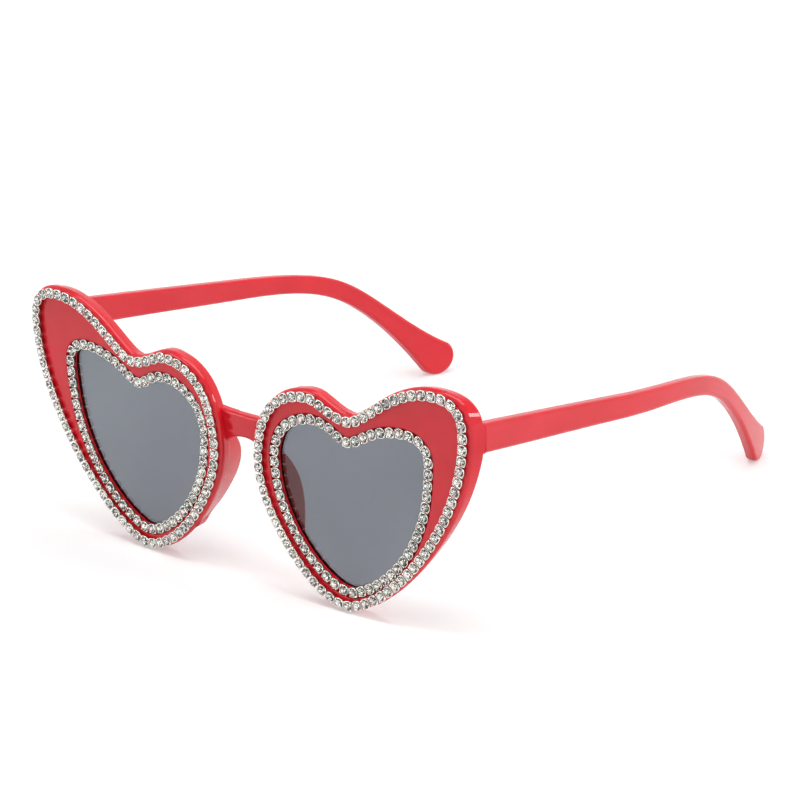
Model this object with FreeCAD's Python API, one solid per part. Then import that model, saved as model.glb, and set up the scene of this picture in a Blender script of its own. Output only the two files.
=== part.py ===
import FreeCAD, Part
import math
import os

# Heart shaped sunglasses, in millimetres. X runs across the face, +Y from the front to the ears, +Z up.
# The wearer's left is +X. The glasses stand open on the two heart tips and the two temple tips.
# One half is modelled on the +X side and mirrored. Heart sizes are measured in the flat of one heart:
# u is the distance out from the centre line, z the height, y the depth behind the outer row's land.

# Outer rhinestone row: the six places where its line runs level or upright
row_notch_u = 34.5
row_notch_z = 48.6
row_crest_u = 59.7
row_crest_z = 60.1
row_side_u = 68.1
row_side_z = 52.2
row_tip_u = 32.0
row_nose_u = 7.1
row_nose_z = 32.0
row_lobe_u = 22.9
row_lobe_z = 52.0

# Width of the smooth panel between the two rows, at the same six places, and the slide along the row
panel_notch = 5.6
panel_notch_slide = -1.0
panel_crest = 11.5
panel_crest_slide = -8.8
panel_side = 10.7
panel_side_slide = -9.2
panel_tip = 3.2
panel_tip_slide = 0.7
panel_nose = 4.2
panel_nose_slide = 1.8
panel_lobe = 5.6
panel_lobe_slide = 0.8

# How far each curve keeps its direction before and after each place, as a part of its span
row_fullness = ((0.42, 0.19), (0.48, 0.47), (0.90, 0.48), (0.31, 0.42), (0.37, 0.76), (0.52, 0.26))
inner_fullness = ((0.30, 0.20), (0.59, 0.50), (0.71, 0.72), (0.19, 0.32), (0.58, 0.83), (0.29, 0.58))
spans_per_curve = 8

# Front frame section
wrap_angle = 2.35
rim_margin = 1.75
rim_draft = 0.9
rim_depth = 3.7
end_bulge = 2.4
end_fullness = 0.40
lobe_bulge = 0.5
shoulder_round = 1.2
rear_round = 0.5
inner_sink = 1.0
recess_margin = 0.2
front_lip = 0.3
opening_tuck = 0.4
rear_lip = 0.3
rear_bevel = 1.3

# Lenses
lens_thickness = 1.1
lens_side_fit = 0.05
lens_edge_fit = 0.1
groove_depth = 0.9

# Bridge and nose pads
bridge_front = 2.3
bridge_back = 5.0
bridge_above_nose = 3.95
bridge_height = 5.9
bridge_overlap = 0.9
bridge_flare = 5.0
bridge_top_rise = 0.4
bridge_arch_drop = 5.7
bridge_round = 0.8
pad_height = 27.5
pad_overlap = 0.5
pad_depth = 11.0
pad_end_depth = 3.8
pad_inset = 0.65
pad_flare = 2.85
pad_thickness = 1.8
pad_end_thickness = 0.6
pad_root_depth = 1.6
pad_root_inset = 0.4
pad_root_thickness = 2.6
pad_skew = 0.8
pad_spans = 10

# Rhinestone chain
stone_pitch = 2.8
stone_across = 2.34
stone_table = 1.3
stone_sides = 8
stone_crown = 0.42
stone_pavilion = 0.7
cup_across = 2.6
cup_base_across = 1.8
cup_floor = 0.12
cup_fit = 0.03
prong_count = 4
prong_inset = 0.02
prong_width = 0.45
prong_depth = 0.2
prong_height = 0.28
prong_root = 0.3
link_width = 0.8
link_thickness = 0.2
link_gap = 0.5

# Temples
temple_thickness = 3.2
temple_below_side = 1.2
temple_drop_angle = 10.0
temple_straight = 102.0
temple_straight_spans = 4
temple_ear_angle = 44.4
temple_elbow_radius = 50.0
temple_inward_slope = 1.55
temple_curve_start = 53.0
temple_curve_radius = 240.0
temple_front_width = 7.3
temple_neck_width = 4.9
temple_bend_width = 5.0
temple_ear_width = 4.9
temple_tip_width = 9.7
temple_round = 0.9
seam_gap = 0.05

# Hinges
hinge_drop = 1.0
knuckle_radius = 1.3
knuckle_height = 1.2
knuckle_gap = 0.1
knuckle_room = 0.25
leaf_thickness = 0.9
leaf_sink = 0.6
leaf_fit = 0.03
front_leaf_length = 5.5
temple_leaf_length = 8.0
temple_leaf_height = 3.0
screw_radius = 0.6
screw_fit = 0.05
screw_head_radius = 1.1
screw_head_height = 0.5
screw_slot_width = 0.3
screw_slot_depth = 0.25
seat_thickness = 2.5
seat_width = 10.5
seat_inset = 0.02

X_AXIS = FreeCAD.Vector(1, 0, 0)
Y_AXIS = FreeCAD.Vector(0, 1, 0)
Z_AXIS = FreeCAD.Vector(0, 0, 1)
FRONTWARD = FreeCAD.Vector(0, -1, 0)
ORIGIN = FreeCAD.Vector(0, 0, 0)
# Longer than any piece, for cutting right through
THROUGH = 200.0
# Order of the six places round a heart
NOTCH, CREST, SIDE, TIP, NOSE, LOBE = range(6)


def vec(x, y, z):
    return FreeCAD.Vector(x, y, z)


def box(x_range, y_range, z_range):
    """A block between the given limits."""
    size = [high - low for low, high in (x_range, y_range, z_range)]
    return Part.makeBox(*size, vec(x_range[0], y_range[0], z_range[0]))


def prism(points, direction):
    """A solid with straight sides from a closed polygon."""
    return Part.Face(Part.makePolygon(points + points[:1])).extrude(direction)


# Heart outlines

def heart(places, fullness):
    """Points and outward normals round a heart of six cubic curves, clockwise seen from the front.

    The line is level at the notch, the crest, the tip and the inner lobe, and upright at both sides.
    """
    level = (True, True, False, True, False, True)
    line = []
    for i in range(len(places)):
        j = (i + 1) % len(places)
        (u0, z0), (u3, z3) = places[i], places[j]
        out, back = fullness[i][1], fullness[j][0]
        u1, z1 = (u0 + out * (u3 - u0), z0) if level[i] else (u0, z0 + out * (z3 - z0))
        u2, z2 = (u3 - back * (u3 - u0), z3) if level[j] else (u3, z3 - back * (z3 - z0))
        for k in range(spans_per_curve):
            t = k / spans_per_curve
            a, b, c, d = (1 - t) ** 3, 3 * t * (1 - t) ** 2, 3 * t * t * (1 - t), t ** 3
            point = (a * u0 + b * u1 + c * u2 + d * u3, a * z0 + b * z1 + c * z2 + d * z3)
            e, f, g = (1 - t) ** 2, 2 * t * (1 - t), t * t
            du = e * (u1 - u0) + f * (u2 - u1) + g * (u3 - u2)
            dz = e * (z1 - z0) + f * (z2 - z1) + g * (z3 - z2)
            length = math.hypot(du, dz)
            line.append((point, (-dz / length, du / length)))
    return line


def offset(line, distance):
    """The heart's points moved outwards by a distance."""
    return [(u + distance * nu, z + distance * nz) for (u, z), (nu, nz) in line]


def outline(points, depth):
    """One smooth closed curve through the points, in the plane at that depth."""
    places = [0.0]
    for i in range(len(row_points)):
        (u0, z0), (u1, z1) = row_points[i], row_points[(i + 1) % len(row_points)]
        places.append(places[-1] + math.hypot(u1 - u0, z1 - z0))
    curve = Part.BSplineCurve()
    curve.interpolate(Points=[vec(u, depth, z) for u, z in points], PeriodicFlag=True, Parameters=places)
    return Part.Wire([curve.toShape()])


def plate(points, front, back):
    """A flat plate with the given outline between two depths."""
    return Part.Face(outline(points, front)).extrude(vec(0, back - front, 0))


row_places = [
    (row_notch_u, row_notch_z),
    (row_crest_u, row_crest_z),
    (row_side_u, row_side_z),
    (row_tip_u, rim_margin),
    (row_nose_u, row_nose_z),
    (row_lobe_u, row_lobe_z),
]
panel_steps = [
    (panel_notch_slide, -panel_notch),
    (panel_crest_slide, -panel_crest),
    (-panel_side, panel_side_slide),
    (panel_tip_slide, panel_tip),
    (panel_nose, panel_nose_slide),
    (panel_lobe_slide, -panel_lobe),
]
inner_places = [(u + du, z + dz) for (u, z), (du, dz) in zip(row_places, panel_steps)]
edge_places = list(row_places)
edge_places[SIDE] = (row_side_u + end_bulge, row_side_z)
edge_places[LOBE] = (row_lobe_u, row_lobe_z + lobe_bulge)

outer_row = heart(row_places, row_fullness)
inner_row = heart(inner_places, inner_fullness)
edge_fullness = list(row_fullness)
edge_fullness[SIDE] = (row_fullness[SIDE][0], end_fullness)
edge_line = heart(edge_places, edge_fullness)
row_points = offset(outer_row, 0.0)

opening_half = cup_across / 2 - opening_tuck
recess_points = offset(inner_row, cup_across / 2 + recess_margin)
opening_points = offset(inner_row, -opening_half)
groove_points = offset(inner_row, groove_depth - opening_half)
lens_points = offset(inner_row, groove_depth - lens_edge_fit - opening_half)
lens_front = inner_sink + front_lip + lens_side_fit
groove_back = lens_front + lens_thickness + lens_side_fit
bevel_points = offset(inner_row, rear_bevel - opening_half)

# Where the temples meet the front, and where the bridge and the pads meet the rims
wrap = math.radians(wrap_angle)
rear_side_u = row_side_u + end_bulge + rim_margin - rim_draft
temple_outside = rear_side_u * math.cos(wrap) - rim_depth * math.sin(wrap)
seat_depth = rear_side_u * math.sin(wrap) + rim_depth * math.cos(wrap)
seat_inside = temple_outside - seat_width
temple_front_z = row_side_z - temple_below_side
hinge_z = temple_front_z - hinge_drop
bridge_bottom = row_nose_z + bridge_above_nose
bridge_top = bridge_bottom + bridge_height
bridge_half_width = row_nose_u - rim_margin + bridge_overlap
pad_top = bridge_bottom + pad_overlap
pad_bottom = pad_top - pad_height


def wrapped(shape):
    """Turn a flat heart's piece back by the wrap of the front."""
    return shape.rotated(ORIGIN, Z_AXIS, wrap_angle)


def mirrored(shape):
    return shape.mirror(ORIGIN, X_AXIS)


# Rhinestones, cups and links

def ring(radius, height):
    """Corners of the stone's polygon at a height above the land."""
    corners = []
    for k in range(stone_sides):
        angle = 2 * math.pi * (k + 0.5) / stone_sides
        corners.append(vec(radius * math.cos(angle), -height, radius * math.sin(angle)))
    return corners


def faceted(rings):
    """A closed solid with flat facets between rings of corners, or single end points."""
    faces = []
    for low, high in zip(rings[:-1], rings[1:]):
        for k in range(stone_sides):
            n = (k + 1) % stone_sides
            corners = [low[k % len(low)], low[n % len(low)], high[n % len(high)], high[k % len(high)]]
            if len(low) == 1:
                corners = corners[1:]
            if len(high) == 1:
                corners = corners[:3]
            faces.append(Part.Face(Part.makePolygon(corners + corners[:1])))
    for end in (rings[0], rings[-1]):
        if len(end) > 1:
            faces.append(Part.Face(Part.makePolygon(end + end[:1])))
    solid = Part.Solid(Part.Shell(faces))
    if solid.Volume < 0:
        solid.reverse()
    return solid


cup_base = link_thickness
girdle = cup_base + cup_floor + cup_fit + stone_pavilion
cup_top = girdle


def stone():
    """One faceted stone, point down, with its axis along Y."""
    point = [vec(0, stone_pavilion - girdle, 0)]
    return faceted([
        point,
        ring(stone_across / 2, girdle),
        ring(stone_table / 2, girdle + stone_crown),
    ])


def cup():
    """One bowl of metal on a small flat base, with a cone for the stone and four prongs beside it."""
    inner = stone_across / 2 + cup_fit
    floor_height = cup_base + cup_floor
    base = vec(0, -cup_base, 0)
    body = Part.makeCone(cup_base_across / 2, cup_across / 2, cup_top - cup_base, base, FRONTWARD)
    pocket = Part.makeCone(0, inner, cup_top - floor_height, vec(0, -floor_height, 0), FRONTWARD)
    body = body.cut(pocket)
    prong = box(
        (inner + prong_inset, inner + prong_inset + prong_depth),
        (-cup_top - prong_height, prong_root - cup_top),
        (-prong_width / 2, prong_width / 2),
    )
    for k in range(prong_count):
        body = body.fuse(prong.rotated(ORIGIN, Y_AXIS, 360 * (k + 0.5) / prong_count))
    return body.removeSplitter()


def row_stations(line):
    """Evenly spaced places along a row: position, and the angle of the row there."""
    wire = outline(offset(line, 0.0), 0.0)
    count = round(wire.Length / stone_pitch)
    points = wire.discretize(Number=count + 1)[:-1]
    stations = []
    for i, point in enumerate(points):
        along = points[(i + 1) % count] - points[i - 1]
        stations.append((point, math.degrees(math.atan2(along.x, along.z)) - 90))
    return stations


def chain(line, depth):
    """Stones, cups and links of one closed row on the land at that depth."""
    stations = row_stations(line)
    stones, cups, links = [], [], []
    for i, (point, angle) in enumerate(stations):
        place = vec(point.x, depth, point.z)
        stones.append(stone_master.rotated(ORIGIN, Y_AXIS, angle).translated(place))
        cups.append(cup_master.rotated(ORIGIN, Y_AXIS, angle).translated(place))
        step = stations[(i + 1) % len(stations)][0] - point
        length = step.Length - link_gap
        link = box((-length / 2, length / 2), (-link_thickness, 0), (-link_width / 2, link_width / 2))
        turn = math.degrees(math.atan2(step.x, step.z)) - 90
        middle = point + step * 0.5
        links.append(link.rotated(ORIGIN, Y_AXIS, turn).translated(vec(middle.x, depth, middle.z)))
    return stones, cups, links


# Front frame

def rim():
    """One heart's rim, flat: drafted wall, rounded shoulder, recess, lens groove, bevel at the back."""
    front = outline(offset(outer_row, rim_margin), 0.0)
    back = outline(offset(edge_line, rim_margin - rim_draft), rim_depth)
    blank = Part.makeLoft([front, back], True, True)
    front_edge = [e for e in blank.Edges if e.BoundBox.YMax < rim_depth / 2]
    back_edge = [e for e in blank.Edges if e.BoundBox.YMin > rim_depth / 2]
    blank = blank.makeFillet(shoulder_round, front_edge).makeFillet(rear_round, back_edge)
    recess = plate(recess_points, -rim_depth, inner_sink)
    opening = plate(opening_points, -rim_depth, 2 * rim_depth)
    groove = plate(groove_points, lens_front - lens_side_fit, groove_back)
    bevel_start = outline(opening_points, groove_back + rear_lip)
    bevel = Part.makeLoft([bevel_start, outline(bevel_points, rim_depth)], True, True)
    return blank.cut(recess).cut(opening).cut(groove).cut(bevel)


def three_point_arc(a, b, c):
    return Part.Arc(a, b, c).toShape()


def bridge():
    """The bar between the hearts, arched below for the nose and thinning into the rims at the back."""
    half = bridge_half_width + bridge_flare / 2
    high = bridge_top + bridge_top_rise
    low = bridge_bottom - bridge_arch_drop
    corners = [vec(-half, 0, high), vec(half, 0, high), vec(half, 0, low), vec(-half, 0, low)]
    edges = [
        three_point_arc(corners[0], vec(0, 0, bridge_top), corners[1]),
        Part.makeLine(corners[1], corners[2]),
        three_point_arc(corners[2], vec(0, 0, bridge_bottom), corners[3]),
        Part.makeLine(corners[3], corners[0]),
    ]
    face_on = Part.Face(Part.Wire(edges)).extrude(vec(0, bridge_back, 0))
    wide = bridge_half_width + bridge_flare
    plan = [
        vec(-wide, bridge_front, 0),
        vec(wide, bridge_front, 0),
        vec(wide, rim_depth, 0),
        vec(bridge_half_width, bridge_back, 0),
        vec(-bridge_half_width, bridge_back, 0),
        vec(-wide, rim_depth, 0),
    ]
    bar = face_on.common(prism(plan, vec(0, 0, THROUGH)))
    return bar.makeFillet(bridge_round, arch_edges(bar))


def arch_edges(bar):
    """The curved front and back edges along the top and the arch of the bridge."""
    chosen = []
    for edge in bar.Edges:
        middle = edge.valueAt((edge.FirstParameter + edge.LastParameter) / 2)
        if abs(middle.x) < bridge_round and edge.Length > bridge_half_width:
            chosen.append(edge)
    return chosen


def nose_side(height):
    """Distance of the rim's nose side from the centre line at a height."""
    side = offset(outer_row, rim_margin)[TIP * spans_per_curve:LOBE * spans_per_curve]
    for (u0, z0), (u1, z1) in zip(side[:-1], side[1:]):
        if z0 <= height <= z1:
            return u0 + (u1 - u0) * (height - z0) / (z1 - z0)
    return side[-1][0]


def nose_pad():
    """A fin that carries on from the nose side of the rim, deepest above its middle, with a round back."""
    sections = []
    for k in range(pad_spans + 1):
        share = k / pad_spans
        height = pad_top + (pad_bottom - pad_top) * share
        swell = math.sin(math.pi * share ** pad_skew)
        sections.append(pad_section(nose_side(height), height, swell))
    return Part.makeLoft(sections, True, False)


def pad_section(side, height, swell):
    """Level section of a nose pad: two flanks from inside the rim to a half round at the back."""
    root = vec(side + pad_root_inset, pad_root_depth, height)
    far_root = root + vec(pad_root_thickness, 0, 0)
    depth = pad_end_depth + (pad_depth - pad_end_depth) * swell
    tip = vec(side + pad_inset + pad_flare * swell, depth, height)
    radius = (pad_end_thickness + (pad_thickness - pad_end_thickness) * swell) / 2
    heading = (tip - (root + far_root) * 0.5).normalize()
    aside = vec(heading.y, -heading.x, 0)
    centre = tip - heading * radius
    near, far = centre - aside * radius, centre + aside * radius
    return Part.Wire([
        Part.makeLine(root, near),
        three_point_arc(near, tip, far),
        Part.makeLine(far, far_root),
        Part.makeLine(far_root, root),
    ])


def end_piece():
    """The flat seat at the outer end of the rim that the temple shuts against, within the rim's own wall."""
    half = temple_front_width / 2
    block = box(
        (seat_inside, temple_outside),
        (seat_depth - seat_thickness, seat_depth),
        (temple_front_z - half, temple_front_z + half),
    )
    front = offset(outer_row, rim_margin - seat_inset)
    back = offset(edge_line, rim_margin - rim_draft - seat_inset)
    reach = 1 + seat_thickness / rim_depth
    past = [(u0 + (u1 - u0) * reach, z0 + (z1 - z0) * reach) for (u0, z0), (u1, z1) in zip(front, back)]
    wall = Part.makeLoft([outline(front, 0.0), outline(past, rim_depth * reach)], True, True)
    return block.common(wrapped(wall))


# Hinges

leaf_inside = temple_outside - temple_thickness + leaf_sink
axis_x = leaf_inside - knuckle_radius
axis_y = seat_depth - leaf_sink + knuckle_radius
hinge_half = (3 * knuckle_height + 2 * knuckle_gap) / 2
axis_foot = vec(axis_x, axis_y, 0)


def barrel(radius, low, high):
    """A cylinder on the hinge axis between two heights above the hinge's middle."""
    return Part.makeCylinder(radius, high - low, vec(axis_x, axis_y, hinge_z + low))


def hinge_room():
    """The space that the knuckles and the screw head need in both plastic pieces."""
    low = -hinge_half - knuckle_room
    high = hinge_half + screw_head_height + knuckle_room
    return barrel(knuckle_radius + knuckle_room, low, high)


def front_leaf_blank(fit, reach):
    """Room of the leaf let into the back of the end piece, up to a distance from the hinge axis."""
    plate_end = axis_x - knuckle_radius - knuckle_room
    low_y = axis_y - knuckle_radius
    return box(
        (plate_end - front_leaf_length - fit, axis_x - reach),
        (low_y - fit, low_y + leaf_thickness),
        (hinge_z - hinge_half - fit, hinge_z + hinge_half + fit),
    )


def front_leaf():
    """Plate with an upper and a lower knuckle."""
    leaf = front_leaf_blank(0.0, knuckle_radius + knuckle_room)
    bore = barrel(screw_radius + screw_fit, -hinge_half, hinge_half)
    low_y = axis_y - knuckle_radius
    for low in (-hinge_half, hinge_half - knuckle_height):
        tongue = box(
            (axis_x - knuckle_radius - knuckle_room, axis_x),
            (low_y, low_y + leaf_thickness),
            (hinge_z + low, hinge_z + low + knuckle_height),
        )
        leaf = leaf.fuse(tongue).fuse(barrel(knuckle_radius, low, low + knuckle_height))
    return leaf.cut(bore).removeSplitter()


def temple_leaf_blank(fit, reach):
    """Room of the leaf let into the inside of the temple, from a distance behind the hinge axis."""
    plate_start = axis_y + knuckle_radius + knuckle_room
    half = temple_leaf_height / 2
    return box(
        (leaf_inside - leaf_thickness, leaf_inside + fit),
        (axis_y + reach, plate_start + temple_leaf_length + fit),
        (hinge_z - half - fit, hinge_z + half + fit),
    )


def temple_leaf():
    """Plate with the middle knuckle."""
    half = knuckle_height / 2
    tongue = box(
        (leaf_inside - leaf_thickness, leaf_inside),
        (axis_y, axis_y + knuckle_radius + knuckle_room),
        (hinge_z - half, hinge_z + half),
    )
    bore = barrel(screw_radius + screw_fit, -half, half)
    plate_blank = temple_leaf_blank(0.0, knuckle_radius + knuckle_room)
    leaf = plate_blank.fuse(tongue).fuse(barrel(knuckle_radius, -half, half))
    return leaf.cut(bore).removeSplitter()


def hinge_screw():
    """A plain shank through the three knuckles, with a slotted head on top."""
    head_top = hinge_half + screw_head_height
    screw = barrel(screw_radius, -hinge_half, hinge_half)
    screw = screw.fuse(barrel(screw_head_radius, hinge_half, head_top))
    slot = box(
        (axis_x - screw_head_radius, axis_x + screw_head_radius),
        (axis_y - screw_slot_width / 2, axis_y + screw_slot_width / 2),
        (hinge_z + head_top - screw_slot_depth, hinge_z + head_top),
    )
    return screw.cut(slot).removeSplitter()


# Temples

def along(start, angle, distance):
    """A point in the side view, at a distance from another along a falling line."""
    return (start[0] + distance * math.cos(angle), start[1] - distance * math.sin(angle))


def temple_side():
    """Side view of a temple: straight bar, elbow, and an ear piece that widens to a round tip."""
    drop = math.radians(temple_drop_angle)
    ear = math.radians(temple_ear_angle)
    tip_radius = temple_tip_width / 2
    start = (seat_depth + seam_gap, temple_front_z)
    elbow = along(start, drop, temple_straight)
    tip = along(elbow, ear, (elbow[1] - tip_radius) / math.sin(ear))
    tangent = temple_elbow_radius * math.tan((ear - drop) / 2)
    bend_start = along(elbow, drop, -tangent)
    bend_end = along(elbow, ear, tangent)
    centre = along(bend_start, drop + math.pi / 2, temple_elbow_radius)
    middle = along(centre, (drop + ear) / 2 - math.pi / 2, temple_elbow_radius)
    stations = [(start, 0.0, temple_front_width)]
    for k in range(temple_straight_spans):
        share = (k + 1) / temple_straight_spans
        place = along(start, drop, (temple_straight - tangent) * share)
        width = temple_front_width + (temple_neck_width - temple_front_width) * share
        stations.append((place, drop, width))
    stations.append((middle, (drop + ear) / 2, temple_bend_width))
    stations.append((bend_end, ear, temple_ear_width))
    stations.append((tip, ear, temple_tip_width))
    upper = [along(place, angle - math.pi / 2, width / 2) for place, angle, width in stations]
    lower = [along(place, angle + math.pi / 2, width / 2) for place, angle, width in stations]
    end = along(tip, ear, tip_radius)
    top_edge = side_curve(upper)
    bottom_edge = side_curve(lower)
    cap = three_point_arc(side_point(upper[-1]), side_point(end), side_point(lower[-1]))
    front = Part.makeLine(side_point(lower[0]), side_point(upper[0]))
    return Part.Face(Part.Wire([front, top_edge, cap, bottom_edge]))


def side_point(place):
    return vec(0, place[0], place[1])


def side_curve(places):
    curve = Part.BSplineCurve()
    curve.interpolate([side_point(p) for p in places])
    return curve.toShape()


def temple_plan():
    """Top view of a temple: a band that leans in, then curves in towards the head."""
    lean = math.radians(temple_inward_slope)
    normal = vec(math.cos(lean), math.sin(lean), 0)
    heading = vec(-math.sin(lean), math.cos(lean), 0)
    outer_start = vec(temple_outside, seat_depth, 0) - heading * temple_round
    outer_bend = vec(temple_outside, seat_depth, 0) + heading * temple_curve_start
    outer_radius = temple_curve_radius + temple_thickness / 2
    centre = outer_bend - normal * outer_radius
    sweep = THROUGH / temple_curve_radius

    def on_arc(radius, share):
        angle = lean + sweep * share
        return centre + vec(math.cos(angle), math.sin(angle), 0) * radius

    inner_radius = outer_radius - temple_thickness
    edges = [
        Part.makeLine(outer_start, outer_bend),
        three_point_arc(outer_bend, on_arc(outer_radius, 0.5), on_arc(outer_radius, 1.0)),
        Part.makeLine(on_arc(outer_radius, 1.0), on_arc(inner_radius, 1.0)),
        three_point_arc(on_arc(inner_radius, 1.0), on_arc(inner_radius, 0.5), on_arc(inner_radius, 0.0)),
        Part.makeLine(on_arc(inner_radius, 0.0), outer_start - normal * temple_thickness),
        Part.makeLine(outer_start - normal * temple_thickness, outer_start),
    ]
    return Part.Face(Part.Wire(edges))


def temple():
    """A temple with rounded edges, a pocket for its hinge leaf and room for the knuckles."""
    side = temple_side().extrude(vec(THROUGH, 0, 0))
    bar = side.common(temple_plan().extrude(vec(0, 0, THROUGH)))
    front_limit = seat_depth + 2 * seam_gap
    long_edges = [e for e in bar.Edges if e.BoundBox.YMax > front_limit]
    bar = bar.makeFillet(temple_round, long_edges)
    return bar.cut(temple_leaf_blank(leaf_fit, 0.0)).cut(hinge_room())


stone_master = stone()
cup_master = cup()

one_rim = wrapped(rim())
half_pieces = [one_rim, nose_pad(), end_piece()]
front_frame = half_pieces[0].fuse(half_pieces[1:] + [mirrored(s) for s in half_pieces] + [bridge()])
for cutter in (front_leaf_blank(leaf_fit, 0.0), hinge_room()):
    front_frame = front_frame.cut(cutter).cut(mirrored(cutter))

sided = {
    "lens": [wrapped(plate(lens_points, lens_front, lens_front + lens_thickness))],
    "temple": [temple()],
    "front_hinge_leaf": [front_leaf()],
    "temple_hinge_leaf": [temple_leaf()],
    "hinge_screw": [hinge_screw()],
}
for row_name, line, depth in (("outer", outer_row, 0.0), ("inner", inner_row, inner_sink)):
    for kind, solids in zip(("stones", "cups", "links"), chain(line, depth)):
        sided[row_name + "_" + kind] = [wrapped(s) for s in solids]

nodes = {"front_frame": [front_frame]}
for name, solids in sided.items():
    nodes["left_" + name] = solids
    nodes["right_" + name] = [mirrored(s) for s in solids]

# The origin is on the floor, half way between the foremost stone and the back of the temple tips
everything = Part.makeCompound([s for solids in nodes.values() for s in solids])
extent = everything.optimalBoundingBox()
shift = vec(0, -(extent.YMin + extent.YMax) / 2, -extent.ZMin)

os.makedirs("parts", exist_ok=True)
for name, solids in nodes.items():
    moved = [s.translated(shift) for s in solids]
    shape = moved[0] if len(moved) == 1 else Part.makeCompound(moved)
    shape.exportStep("parts/" + name + ".step")

print("hinge axis at", axis_foot + shift)
print("overall", extent.XLength, extent.YLength, extent.ZLength, "shift", shift)
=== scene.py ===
import math
import random

import bmesh
import bpy
from mathutils import Matrix, Vector


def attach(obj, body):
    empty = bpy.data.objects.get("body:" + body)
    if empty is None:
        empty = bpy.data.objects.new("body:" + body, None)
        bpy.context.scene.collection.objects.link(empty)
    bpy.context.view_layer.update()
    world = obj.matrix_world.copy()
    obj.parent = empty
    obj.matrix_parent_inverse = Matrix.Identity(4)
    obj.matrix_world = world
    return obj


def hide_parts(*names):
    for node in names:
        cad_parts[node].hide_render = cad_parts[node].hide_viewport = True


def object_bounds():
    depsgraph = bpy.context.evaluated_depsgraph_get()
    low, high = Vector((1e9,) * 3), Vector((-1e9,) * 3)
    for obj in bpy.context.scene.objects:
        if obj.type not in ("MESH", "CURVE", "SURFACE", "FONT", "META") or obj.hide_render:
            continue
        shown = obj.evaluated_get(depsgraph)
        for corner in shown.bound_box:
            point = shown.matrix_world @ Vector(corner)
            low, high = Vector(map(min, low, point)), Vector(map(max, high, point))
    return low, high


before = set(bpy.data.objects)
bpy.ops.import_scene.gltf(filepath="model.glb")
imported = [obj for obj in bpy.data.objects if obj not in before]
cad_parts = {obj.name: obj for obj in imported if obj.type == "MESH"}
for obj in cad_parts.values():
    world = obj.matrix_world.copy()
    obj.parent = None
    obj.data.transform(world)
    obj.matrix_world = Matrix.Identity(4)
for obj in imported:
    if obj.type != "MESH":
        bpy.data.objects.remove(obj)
cad_low, cad_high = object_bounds()

# Looks of the heart shaped sunglasses, in metres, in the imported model's frame

SIDES = ("left", "right")
ROWS = ("outer", "inner")
HINGE_PIECES = ("front_hinge_leaf", "temple_hinge_leaf", "hinge_screw")
# Colour that holds each foil facet's painted reflection
FACET_PAINTED_REFLECTION = "facet_painted_reflection"
WHITE = (1, 1, 1, 1)

# Camera of the photograph
CAMERA_AZIMUTH = 40.88
CAMERA_ELEVATION = 20.93
CAMERA_ROLL = -1.74
CAMERA_DISTANCE = 0.8868
CAMERA_TARGET = Vector((0.05274, -0.07132, 0.05879))
CAMERA_LENS_MM = 176.04
CAMERA_SENSOR_MM = 36.0
CAMERA_CLIP_START = 0.01

# Cut of the stones, as parts of the stone's own radius, and of its depth for the foiled back
STONE_FACETS = 8
STONE_TABLE = 0.52
STONE_GIRDLE = 0.05
STONE_BACK = 0.7
STONE_TILT_DEGREES = 3.0
STONE_SEED = 11
# Painted reflections on the foil: the share of facets painted dark, as if they mirrored dark
# surroundings, the tones of the dark and the bright ones, and their tints
DARK_REFLECTION_SHARE = 0.21
DARK_REFLECTION_TONES = (0.02, 0.16)
BRIGHT_REFLECTION_TONES = (0.94, 1.0)
REFLECTION_TINTS = ((1.0, 0.97, 0.95), (0.92, 1.0, 0.94), (1.0, 0.94, 0.86), (1.0, 0.90, 0.92))

# Metal cups: the bowl from its base to its widest ring, as shares of the way out and of the height
CUP_SEGMENTS = 24
CUP_SQUARENESS = 0.045
CUP_BOWL = ((0.0, 0.0), (0.35, 0.10), (0.78, 0.45), (0.95, 0.82), (1.0, 0.94))
# The rim as a share of the wall, and the rise of the pocket's edge over it as a share of the height
CUP_RIM = 0.985
POCKET_RISE = 0.01
# The pocket as a share of its stone, and the pocket's bottom as shares of the pocket and of the height
POCKET_PLAY = 1.01
POCKET_BOTTOM = 0.5
POCKET_BOTTOM_LEVEL = 0.5

# Claws: shares of radius, of height and of the claw's width at each place along it
CLAW_COUNT = 4
CLAW_SEGMENTS = 8
CLAW_WIDTH = 0.00024
CLAW_FLATNESS = 1.5
CLAW_ROOT = (0.93, 0.35, 0.8)
CLAW_FOOT = (1.02, 0.08, 1.0)
CLAW_BEND = (1.01, 0.45, 1.0)
CLAW_OVER_STONE = (0.97, 1.1, 0.95)
CLAW_TIP = (0.87, 1.3, 0.6)

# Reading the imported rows: decimals of a metre that tell points apart
POINT_DECIMALS = 7
# A stone's corners beyond this share of its radius are on its girdle
GIRDLE_FROM = 0.98
# A cup's corners below this share of its height are on its base
CUP_BASE_TO = 0.05
# A cup's corners less diagonal than this are on its wall, because the claws stand at the diagonals
WALL_DIAGONAL = 0.7

# Noise textures: usual, smoother and plainest detail, and the stretch of their values that is mapped
NOISE_DETAIL = 3.0
SMOOTH_DETAIL = 2.0
PLAIN_DETAIL = 0.0
NOISE_LOW = 0.3
NOISE_HIGH = 0.7

# Red plastic: tones, roughness, scales of flow marks, haze and ripple, and the ripple's relief
RED_TONES = ((0.70, 0.009, 0.020, 1), (0.78, 0.013, 0.028, 1))
RED_ROUGHNESS = (0.03, 0.08)
RED_FLOW_SCALE = 60.0
RED_HAZE_SCALE = 220.0
RED_RIPPLE_SCALE = 150.0
RED_RIPPLE_HEIGHT = 0.00002
RED_RIPPLE_STRENGTH = 0.25
RED_IOR = 1.46

# Lens sheet: tones, roughness, and the scales of the tint's clouds and of the haze
LENS_TONES = ((0.147, 0.163, 0.192, 1), (0.169, 0.185, 0.213, 1))
LENS_ROUGHNESS = (0.0, 0.02)
LENS_CLOUD_SCALE = 25.0
LENS_HAZE_SCALE = 90.0
LENS_IOR = 1.5

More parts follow.
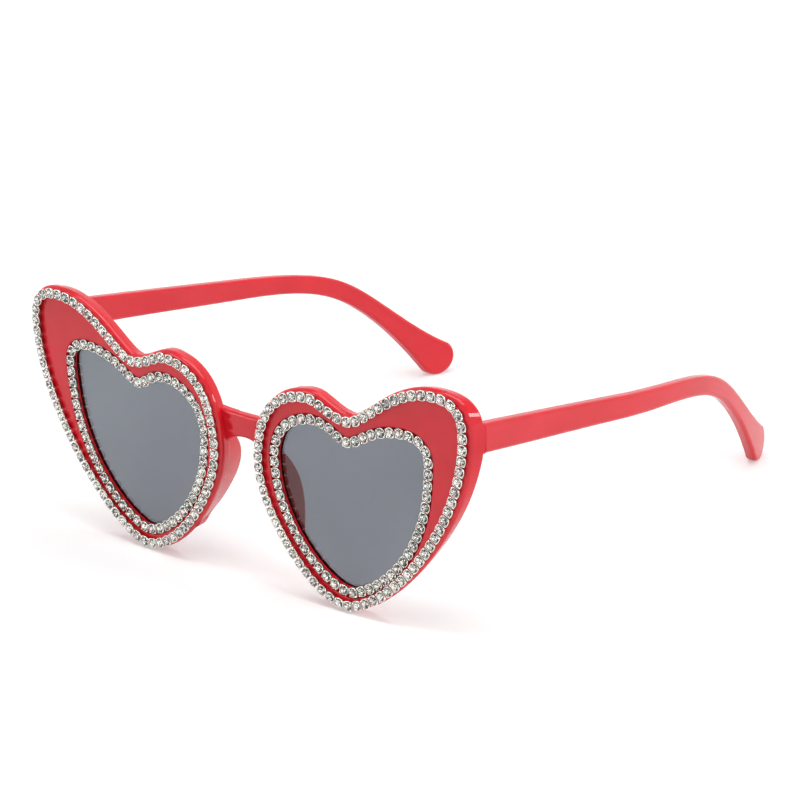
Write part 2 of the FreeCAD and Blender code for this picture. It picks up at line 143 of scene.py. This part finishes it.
# Crystal of the stones, and the foil behind them
CRYSTAL_TONES = ((0.96, 0.99, 0.97, 1), (1.0, 0.98, 0.99, 1))
CRYSTAL_ROUGHNESS = (0.0, 0.015)
CRYSTAL_TRACE_SCALE = 400.0
CRYSTAL_HAZE_SCALE = 3000.0
CRYSTAL_IOR = 1.6
FOIL_ROUGHNESS = (0.03, 0.08)
FOIL_CRINKLE_SCALE = 900.0
FOIL_CRINKLE_HEIGHT = 0.00001
FOIL_CRINKLE_STRENGTH = 0.3

# Metals: dark and light tone, roughness, and the scale of the uneven polish
CUP_SILVER = (((0.74, 0.71, 0.64, 1), (0.88, 0.86, 0.80, 1)), (0.10, 0.22), 700.0)
# The cups' sides: dark metal that paints the shade under and between the cups
CUP_SIDE_PAINTED_SHADE = (((0.16, 0.15, 0.13, 1), (0.36, 0.34, 0.31, 1)), (0.14, 0.30), 700.0)
HINGE_STEEL = (((0.50, 0.49, 0.48, 1), (0.62, 0.61, 0.60, 1)), (0.22, 0.38), 500.0)
# How much finer than the polish the haze and the grain are, and the grain's relief
METAL_HAZE_FINER = 2
METAL_GRAIN_FINER = 3
METAL_GRAIN_HEIGHT = 0.00001
METAL_GRAIN_STRENGTH = 0.3

# Even light on the object
WORLD_STRENGTH = 0.35
# Shown surroundings: white up to one height of the view's direction, dimmer from the other on
BACKDROP_TOP = 0.35
CEILING_FROM = 0.8
CEILING_STRENGTH = 0.58

# Floor
FLOOR_SIZE = 6.0
FLOOR_COLOUR = (0.80, 0.80, 0.80, 1.0)
# Lift of the shown floor to white: near the object and far from it, with the distances of both
FLOOR_LIFT_NEAR = 0.31
FLOOR_LIFT_FAR = 0.76
FLOOR_NEAR = 0.15
FLOOR_FAR = 1.2

# Lamps: name, place, width, height and power
SOFTBOXES = (
    ("overhead", (0.05, -0.22, 1.0), 1.0, 0.25, 4.2),
    ("rear", (0.05, 0.32, 0.95), 1.0, 0.12, 2.0),
    ("right", (1.62, 0.15, 0.75), 1.0, 0.34, 12.2),
    ("front", (-0.55, -0.80, 0.45), 0.4, 0.4, 1.9),
)
# A lamp that only shows in gloss
GLOSS_STRIP = ("gloss", (0.05, -0.22, 1.0), 1.0, 0.10, 28.0)


# Material helpers

def new_material(name):
    """An empty node material with a Principled shader wired to its output."""
    material = bpy.data.materials.new(name)
    material.use_nodes = True
    nodes = material.node_tree.nodes
    nodes.clear()
    output = nodes.new("ShaderNodeOutputMaterial")
    shader = nodes.new("ShaderNodeBsdfPrincipled")
    material.node_tree.links.new(shader.outputs["BSDF"], output.inputs["Surface"])
    return material, shader


def set_values(node, values):
    """Set constants on a node's own sockets."""
    for name, value in values.items():
        node.inputs[name].default_value = value


def noise(material, scale, detail=NOISE_DETAIL):
    """A noise texture in the piece's own metres."""
    nodes = material.node_tree.nodes
    place = nodes.new("ShaderNodeTexCoord")
    texture = nodes.new("ShaderNodeTexNoise")
    set_values(texture, {"Scale": scale, "Detail": detail})
    material.node_tree.links.new(place.outputs["Object"], texture.inputs["Vector"])
    return texture.outputs["Fac"]


def spread(material, source, low, high):
    """Map a texture's value to a range."""
    node = material.node_tree.nodes.new("ShaderNodeMapRange")
    set_values(node, {"From Min": NOISE_LOW, "From Max": NOISE_HIGH, "To Min": low, "To Max": high})
    material.node_tree.links.new(source, node.inputs["Value"])
    return node.outputs["Result"]


def two_tones(material, source, first, second):
    """Colour between two tones by a texture's value."""
    node = material.node_tree.nodes.new("ShaderNodeMix")
    node.data_type = "RGBA"
    set_values(node, {"A": first, "B": second})
    factor = spread(material, source, 0.0, 1.0)
    material.node_tree.links.new(factor, node.inputs["Factor"])
    return node.outputs["Result"]


def bump(material, shader, source, height, strength):
    """Relief from a texture's value."""
    node = material.node_tree.nodes.new("ShaderNodeBump")
    set_values(node, {"Distance": height, "Strength": strength})
    material.node_tree.links.new(source, node.inputs["Height"])
    material.node_tree.links.new(node.outputs["Normal"], shader.inputs["Normal"])


def colour_and_haze(material, shader, colour_source, tones, haze_source, roughness):
    """Base colour between two tones and roughness within a range, each from its own texture."""
    links = material.node_tree.links
    links.new(two_tones(material, colour_source, *tones), shader.inputs["Base Color"])
    links.new(spread(material, haze_source, *roughness), shader.inputs["Roughness"])


# Materials

def red_plastic():
    """Polished moulded plastic: slight flow marks in the colour, faint polishing haze and ripple."""
    material, shader = new_material("red_plastic")
    flow = noise(material, RED_FLOW_SCALE)
    haze = noise(material, RED_HAZE_SCALE)
    colour_and_haze(material, shader, flow, RED_TONES, haze, RED_ROUGHNESS)
    ripple = noise(material, RED_RIPPLE_SCALE, SMOOTH_DETAIL)
    bump(material, shader, ripple, RED_RIPPLE_HEIGHT, RED_RIPPLE_STRENGTH)
    set_values(shader, {"IOR": RED_IOR})
    return material


def smoke_lens():
    """Tinted see-through sheet with the faintest wiping haze."""
    material, shader = new_material("smoke_lens")
    cloud = noise(material, LENS_CLOUD_SCALE)
    haze = noise(material, LENS_HAZE_SCALE)
    colour_and_haze(material, shader, cloud, LENS_TONES, haze, LENS_ROUGHNESS)
    set_values(shader, {"IOR": LENS_IOR, "Transmission Weight": 1.0})
    return material


def crystal():
    """Clear cut stone with a trace of tint that differs from stone to stone."""
    material, shader = new_material("crystal")
    trace = noise(material, CRYSTAL_TRACE_SCALE, PLAIN_DETAIL)
    haze = noise(material, CRYSTAL_HAZE_SCALE)
    colour_and_haze(material, shader, trace, CRYSTAL_TONES, haze, CRYSTAL_ROUGHNESS)
    set_values(shader, {"IOR": CRYSTAL_IOR, "Transmission Weight": 1.0})
    return material


def stone_foil():
    """Mirror foil behind the stones, coloured by each facet's painted reflection, dark or bright, with
    fine crinkles.
    """
    material, shader = new_material("stone_foil")
    nodes, links = material.node_tree.nodes, material.node_tree.links
    tone = nodes.new("ShaderNodeAttribute")
    tone.attribute_name = FACET_PAINTED_REFLECTION
    links.new(tone.outputs["Color"], shader.inputs["Base Color"])
    crinkle = noise(material, FOIL_CRINKLE_SCALE)
    links.new(spread(material, crinkle, *FOIL_ROUGHNESS), shader.inputs["Roughness"])
    bump(material, shader, crinkle, FOIL_CRINKLE_HEIGHT, FOIL_CRINKLE_STRENGTH)
    set_values(shader, {"Metallic": 1.0})
    return material


def metal(name, tones, roughness, scale):
    """Metal with uneven polish and a fine grain."""
    material, shader = new_material(name)
    polish = noise(material, scale)
    haze = noise(material, scale * METAL_HAZE_FINER)
    colour_and_haze(material, shader, polish, tones, haze, roughness)
    grain = noise(material, scale * METAL_GRAIN_FINER, SMOOTH_DETAIL)
    bump(material, shader, grain, METAL_GRAIN_HEIGHT, METAL_GRAIN_STRENGTH)
    set_values(shader, {"Metallic": 1.0})
    return material


# Rows of cups and stones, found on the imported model

def islands(node):
    """The separate solids of a node, each as a list of its corner points."""
    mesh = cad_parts[node].data
    index = {}
    points = []
    ids = []
    for vertex in mesh.vertices:
        key = tuple(round(c, POINT_DECIMALS) for c in vertex.co)
        if key not in index:
            index[key] = len(points)
            points.append(vertex.co.copy())
        ids.append(index[key])
    parent = list(range(len(points)))

    def root(i):
        while parent[i] != i:
            parent[i] = parent[parent[i]]
            i = parent[i]
        return i

    for edge in mesh.edges:
        a, b = (root(ids[v]) for v in edge.vertices)
        parent[a] = b
    groups = {}
    for i, point in enumerate(points):
        groups.setdefault(root(i), []).append(point)
    return list(groups.values())


def in_row_order(centres):
    """Order of the places along a closed row, each followed by its nearest neighbour."""
    left = list(range(1, len(centres)))
    order = [0]
    while left:
        here = centres[order[-1]]
        nearest = min(left, key=lambda i: (centres[i] - here).length)
        order.append(nearest)
        left.remove(nearest)
    return order


def row_normal(side):
    """Direction that one heart's rows face: square to the lens, towards the front."""
    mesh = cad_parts[side + "_lens"].data
    largest = max(mesh.polygons, key=lambda face: face.area)
    normal = largest.normal.copy()
    return -normal if normal.y > 0 else normal


def row_places(solids, normal):
    """For each solid of a row: a matrix with X along the row and Z out of the heart, and its corners."""
    centres = [sum(group, Vector()) / len(group) for group in solids]
    order = in_row_order(centres)
    places = []
    for n, i in enumerate(order):
        before = centres[order[n - 1]]
        after = centres[order[(n + 1) % len(order)]]
        along = after - before
        along = (along - normal * along.dot(normal)).normalized()
        across = normal.cross(along)
        axes = Matrix((along, across, normal)).transposed().to_4x4()
        places.append((Matrix.Translation(centres[i]) @ axes, solids[i]))
    return places


def about_axis(place, points):
    """Each point's distance from the place's axis, its height, and how near it is to a diagonal."""
    rows = []
    for point in points:
        local = place.inverted() @ point
        diagonal = abs(math.sin(2 * math.atan2(local.y, local.x)))
        rows.append((math.hypot(local.x, local.y), local.z, diagonal))
    return rows


def lowest_and_highest(rows):
    """Range of the heights that about_axis found."""
    heights = [height for _, height, _ in rows]
    return min(heights), max(heights)


# Cut stones and pressed cups

def squared(angle, radius):
    """Radius of a ring that is drawn out a little at its four corners."""
    return radius * (1 + CUP_SQUARENESS * (1 - math.cos(4 * angle)))


def ring(bm, radius, height, count, cornered=False):
    """Points of a level ring, round or drawn out at its corners."""
    made = []
    for k in range(count):
        angle = 2 * math.pi * k / count
        reach = squared(angle, radius) if cornered else radius
        made.append(bm.verts.new((reach * math.cos(angle), reach * math.sin(angle), height)))
    return made


def tube(bm, rings):
    """Faces between neighbouring rings, as one list for each stretch."""
    stretches = []
    for first, second in zip(rings[:-1], rings[1:]):
        made = []
        for k in range(len(first)):
            n = (k + 1) % len(first)
            made.append(bm.faces.new([first[k], first[n], second[n], second[k]]))
        stretches.append(made)
    return stretches


def cut_stone(radius, low, high, girdle):
    """A round stone: table, kites and triangles above a narrow girdle, and a foiled back."""
    bm = bmesh.new()
    band = girdle + STONE_GIRDLE * radius
    table = ring(bm, STONE_TABLE * radius, high, STONE_FACETS)
    upper = ring(bm, radius, band, 2 * STONE_FACETS)
    lower = ring(bm, radius, girdle, 2 * STONE_FACETS)
    point = bm.verts.new((0, 0, girdle + (low - girdle) * STONE_BACK))
    crown, back = [table], []
    for k in range(STONE_FACETS):
        edge = 2 * k + 1
        crown.append([table[k], upper[edge], table[(k + 1) % STONE_FACETS]])
        crown.append([table[k], upper[edge - 2], upper[edge - 1], upper[edge]])
    for k in range(2 * STONE_FACETS):
        crown.append([upper[k - 1], lower[k - 1], lower[k], upper[k]])
        back.append([point, lower[k - 1], lower[k]])
    for corners in crown:
        bm.faces.new(corners).material_index = 0
    for corners in back:
        bm.faces.new(corners).material_index = 1
    bmesh.ops.recalc_face_normals(bm, faces=bm.faces)
    return bm


def set_cup(base, wall, low, rim, claw_top, pocket):
    """A pressed bowl with a rolled bright rim, a cone for the stone, and claws bent over its edge."""
    bm = bmesh.new()
    height = rim - low
    profile = [(base + (wall - base) * out, low + height * up) for out, up in CUP_BOWL]
    profile.append((wall * CUP_RIM, rim))
    profile.append((pocket, rim + height * POCKET_RISE))
    profile.append((pocket * POCKET_BOTTOM, low + height * POCKET_BOTTOM_LEVEL))
    rings = [ring(bm, radius, level, CUP_SEGMENTS, radius > pocket) for radius, level in profile]
    # The bowl's sides up to its last stretch take dark metal, painted shade for the shade under and
    # between the cups; the last stretch and all that follows it are bright
    painted_shade_stretches = len(CUP_BOWL) - 2
    for stretch in tube(bm, rings)[painted_shade_stretches:]:
        for face in stretch:
            face.material_index = 1
    bm.faces.new(list(reversed(rings[0])))
    bm.faces.new(rings[-1])
    for k in range(CLAW_COUNT):
        corner = 2 * math.pi * (k + 0.5) / CLAW_COUNT
        claw(bm, corner, squared(corner, wall), rim, claw_top, pocket, height)
    bmesh.ops.recalc_face_normals(bm, faces=bm.faces)
    for face in bm.faces:
        face.smooth = True
    return bm


def claw_path(wall, rim, top, pocket, height):
    """Radius, level and width share at each place along a claw, from its root to its tip."""
    half = CLAW_WIDTH / 2
    path = []
    for out, down, share in (CLAW_ROOT, CLAW_FOOT):
        path.append((wall * out, rim - height * down, share))
    out, up, share = CLAW_BEND
    path.append((wall * out, rim + (top - rim) * up, share))
    for out, down, share in (CLAW_OVER_STONE, CLAW_TIP):
        path.append((pocket * out, top - half * down, share))
    return path


def claw(bm, angle, wall, rim, top, pocket, height):
    """One tapered claw that rises beside the stone and bends over its edge."""
    half = CLAW_WIDTH / 2
    path = claw_path(wall, rim, top, pocket, height)
    outward = Vector((math.cos(angle), math.sin(angle), 0))
    across = Vector((-math.sin(angle), math.cos(angle), 0))
    rings = []
    for i, (radius, level, share) in enumerate(path):
        before, after = path[max(i - 1, 0)], path[min(i + 1, len(path) - 1)]
        heading = (outward * (after[0] - before[0]) + Vector((0, 0, after[1] - before[1]))).normalized()
        depth = across.cross(heading)
        centre = outward * radius + Vector((0, 0, level))
        made = []
        for k in range(CLAW_SEGMENTS):
            turn = 2 * math.pi * k / CLAW_SEGMENTS
            reach = across * math.cos(turn) * CLAW_FLATNESS + depth * math.sin(turn)
            made.append(bm.verts.new(centre + reach * half * share))
        rings.append(made)
    faces = sum(tube(bm, rings), [])
    faces.append(bm.faces.new(list(reversed(rings[0]))))
    faces.append(bm.faces.new(rings[-1]))
    for face in faces:
        face.material_index = 1


def copies(name, master, places, materials):
    """One piece made of a copy of the master mesh at each place."""
    template = bpy.data.meshes.new(name + "_one")
    master.to_mesh(template)
    joined = bmesh.new()
    for place in places:
        start = len(joined.verts)
        joined.from_mesh(template)
        joined.verts.ensure_lookup_table()
        bmesh.ops.transform(joined, matrix=place, verts=joined.verts[start:])
    mesh = bpy.data.meshes.new(name)
    joined.to_mesh(mesh)
    joined.free()
    bpy.data.meshes.remove(template)
    for material in materials:
        mesh.materials.append(material)
    piece = bpy.data.objects.new(name, mesh)
    bpy.context.scene.collection.objects.link(piece)
    return piece


def stand_for(piece, node):
    """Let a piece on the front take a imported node's place."""
    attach(piece, "front")
    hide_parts(node)


def paint_facet_reflections(piece, draw):
    """Paint a reflection on every facet: a dark or bright tone, drawn at random, for what each foiled
    facet would mirror.
    """
    tones = piece.data.color_attributes.new(FACET_PAINTED_REFLECTION, "FLOAT_COLOR", "CORNER")
    for facet in piece.data.polygons:
        low, high = DARK_REFLECTION_TONES if draw.random() < DARK_REFLECTION_SHARE else BRIGHT_REFLECTION_TONES
        level = draw.uniform(low, high)
        tint = draw.choice(REFLECTION_TINTS)
        for corner in facet.loop_indices:
            tones.data[corner].color = (*[level * part for part in tint], 1.0)


def dress_stones(row_name, places, stone, radius, girdle, finish, draw):
    """Cut stones in place of one row's plain ones, each turned and tilted a little in its cup."""
    low, high = lowest_and_highest(stone)
    master = cut_stone(radius, low, high, girdle)
    tilt = math.radians(STONE_TILT_DEGREES)
    to_girdle = Matrix.Translation((0, 0, girdle))
    set_places = []
    for place in places:
        turn = Matrix.Rotation(draw.uniform(0, 2 * math.pi / STONE_FACETS), 4, "Z")
        lean = Matrix.Rotation(draw.uniform(-tilt, tilt), 4, "X")
        nod = Matrix.Rotation(draw.uniform(-tilt, tilt), 4, "Y")
        set_places.append(place @ to_girdle @ lean @ nod @ turn @ to_girdle.inverted())
    piece = copies(row_name + "_cut_stones", master, set_places, finish)
    # Painted reflections: a dark or bright tone on each foil facet
    paint_facet_reflections(piece, draw)
    stand_for(piece, row_name + "_stones")
    master.free()


def dress_cups(row_name, places, radius, girdle, finish):
    """Pressed cups in place of one row's plain ones, sized by the plain cup at the first place."""
    first = places[0]
    cups = islands(row_name + "_cups")
    nearest = min(cups, key=lambda group: (group[0] - first.translation).length)
    cup = about_axis(first, nearest)
    low, high = lowest_and_highest(cup)
    base_top = low + (girdle - low) * CUP_BASE_TO
    base = max(distance for distance, height, _ in cup if height < base_top)
    wall = max(distance for distance, _, diagonal in cup if diagonal < WALL_DIAGONAL)
    master = set_cup(base, wall, low, girdle, high, radius * POCKET_PLAY)
    piece = copies(row_name + "_set_cups", master, places, finish)
    stand_for(piece, row_name + "_cups")
    master.free()


def dress_row(side, row, stone_finish, cup_finish, draw):
    """Cut stones and pressed cups in place of one row's plain ones."""
    row_name = side + "_" + row
    found = row_places(islands(row_name + "_stones"), row_normal(side))
    places = [place for place, _ in found]
    stone = about_axis(*found[0])
    radius = max(distance for distance, _, _ in stone)
    edge = [height for distance, height, _ in stone if distance > radius * GIRDLE_FROM]
    girdle = sum(edge) / len(edge)
    dress_stones(row_name, places, stone, radius, girdle, stone_finish, draw)
    dress_cups(row_name, places, radius, girdle, cup_finish)


# Finishes on the carried-over solids

def paint(node, material):
    """One finish on a carried-over solid."""
    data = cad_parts[node].data
    data.materials.clear()
    data.materials.append(material)


red = red_plastic()
smoke = smoke_lens()
gem = crystal()
foil = stone_foil()
silver = metal("cup_silver", *CUP_SILVER)
# Dark metal on the cups' sides is painted shade
cup_side_painted_shade = metal("cup_side_painted_shade", *CUP_SIDE_PAINTED_SHADE)
steel = metal("hinge_steel", *HINGE_STEEL)

paint("front_frame", red)
for side in SIDES:
    paint(side + "_temple", red)
    paint(side + "_lens", smoke)
    for name in HINGE_PIECES:
        paint(side + "_" + name, steel)
    for row in ROWS:
        paint(side + "_" + row + "_links", silver)

draw = random.Random(STONE_SEED)
for side in SIDES:
    for row in ROWS:
        dress_row(side, row, (gem, foil), (cup_side_painted_shade, silver), draw)


# Floor, light and camera

def shown_ray(nodes, links):
    """1 for rays that show the background: seen directly, mirrored or through glass."""
    path = nodes.new("ShaderNodeLightPath")
    shown = path.outputs["Is Camera Ray"]
    for name in ("Is Glossy Ray", "Is Transmission Ray"):
        either = nodes.new("ShaderNodeMath")
        either.operation = "MAXIMUM"
        links.new(shown, either.inputs[0])
        links.new(path.outputs[name], either.inputs[1])
        shown = either.outputs["Value"]
    return shown


def floor_lift(nodes, links):
    """Glow of the floor where it shows, which grows with the distance from the object."""
    place = nodes.new("ShaderNodeTexCoord")
    away = nodes.new("ShaderNodeVectorMath")
    away.operation = "LENGTH"
    fade = nodes.new("ShaderNodeMapRange")
    set_values(fade, {"From Min": FLOOR_NEAR, "From Max": FLOOR_FAR})
    set_values(fade, {"To Min": FLOOR_LIFT_NEAR, "To Max": FLOOR_LIFT_FAR})
    lift = nodes.new("ShaderNodeMath")
    lift.operation = "MULTIPLY"
    links.new(place.outputs["Object"], away.inputs[0])
    links.new(away.outputs["Value"], fade.inputs["Value"])
    links.new(shown_ray(nodes, links), lift.inputs[0])
    links.new(fade.outputs["Result"], lift.inputs[1])
    return lift.outputs["Value"]


def floor():
    """A pale floor that keeps the shadow and is lifted to white where it shows."""
    mesh = bpy.data.meshes.new("floor")
    half = FLOOR_SIZE / 2
    corners = [(-half, -half, 0), (half, -half, 0), (half, half, 0), (-half, half, 0)]
    mesh.from_pydata(corners, [], [(0, 1, 2, 3)])
    piece = bpy.data.objects.new("floor", mesh)
    bpy.context.scene.collection.objects.link(piece)
    material = bpy.data.materials.new("floor_white")
    material.use_nodes = True
    nodes, links = material.node_tree.nodes, material.node_tree.links
    nodes.clear()
    output = nodes.new("ShaderNodeOutputMaterial")
    matt = nodes.new("ShaderNodeBsdfDiffuse")
    set_values(matt, {"Color": FLOOR_COLOUR})
    glow = nodes.new("ShaderNodeEmission")
    both = nodes.new("ShaderNodeAddShader")
    links.new(floor_lift(nodes, links), glow.inputs["Strength"])
    links.new(matt.outputs["BSDF"], both.inputs[0])
    links.new(glow.outputs["Emission"], both.inputs[1])
    links.new(both.outputs["Shader"], output.inputs["Surface"])
    mesh.materials.append(material)


def surroundings():
    """A white backdrop under a dimmer ceiling where they show, and a plain even light on the object."""
    world = bpy.data.worlds.new("studio")
    bpy.context.scene.world = world
    world.use_nodes = True
    nodes, links = world.node_tree.nodes, world.node_tree.links
    nodes.clear()
    output = nodes.new("ShaderNodeOutputWorld")
    light = nodes.new("ShaderNodeBackground")
    set_values(light, {"Color": WHITE, "Strength": WORLD_STRENGTH})
    white = nodes.new("ShaderNodeBackground")
    set_values(white, {"Color": WHITE})
    place = nodes.new("ShaderNodeTexCoord")
    parts = nodes.new("ShaderNodeSeparateXYZ")
    dim = nodes.new("ShaderNodeMapRange")
    set_values(dim, {"From Min": BACKDROP_TOP, "From Max": CEILING_FROM})
    set_values(dim, {"To Min": 1.0, "To Max": CEILING_STRENGTH})
    links.new(place.outputs["Generated"], parts.inputs["Vector"])
    links.new(parts.outputs["Z"], dim.inputs["Value"])
    links.new(dim.outputs["Result"], white.inputs["Strength"])
    mix = nodes.new("ShaderNodeMixShader")
    links.new(shown_ray(nodes, links), mix.inputs["Fac"])
    links.new(light.outputs["Background"], mix.inputs[1])
    links.new(white.outputs["Background"], mix.inputs[2])
    links.new(mix.outputs["Shader"], output.inputs["Surface"])


def softbox(name, place, width, height, power, target):
    """A rectangular lamp that faces a point."""
    data = bpy.data.lights.new(name, "AREA")
    data.shape = "RECTANGLE"
    data.size = width
    data.size_y = height
    data.energy = power
    lamp = bpy.data.objects.new(name, data)
    bpy.context.scene.collection.objects.link(lamp)
    lamp.location = place
    lamp.rotation_euler = (Vector(target) - Vector(place)).to_track_quat("-Z", "Y").to_euler()
    return lamp


def camera():
    """The photograph's camera, placed by its angles about the point that it looks at."""
    azimuth, elevation, roll = (math.radians(a) for a in (CAMERA_AZIMUTH, CAMERA_ELEVATION, CAMERA_ROLL))
    level = math.cos(elevation)
    back = Vector((math.sin(azimuth) * level, -math.cos(azimuth) * level, math.sin(elevation)))
    right = Vector((math.cos(azimuth), math.sin(azimuth), 0))
    up = back.cross(right)
    rolled_right = right * math.cos(roll) + up * math.sin(roll)
    rolled_up = up * math.cos(roll) - right * math.sin(roll)
    axes = Matrix((rolled_right, rolled_up, back)).transposed().to_4x4()
    data = bpy.data.cameras.new("photo_camera")
    data.sensor_fit = "HORIZONTAL"
    data.sensor_width = CAMERA_SENSOR_MM
    data.lens = CAMERA_LENS_MM
    data.clip_start = CAMERA_CLIP_START
    piece = bpy.data.objects.new("photo_camera", data)
    bpy.context.scene.collection.objects.link(piece)
    piece.matrix_world = Matrix.Translation(CAMERA_TARGET + back * CAMERA_DISTANCE) @ axes
    bpy.context.scene.camera = piece


floor()
surroundings()
middle = (cad_low + cad_high) / 2
for lamp in SOFTBOXES:
    softbox(*lamp, middle)
softbox(*GLOSS_STRIP, middle).visible_diffuse = False
camera()
bpy.context.scene.view_settings.view_transform = "Standard"
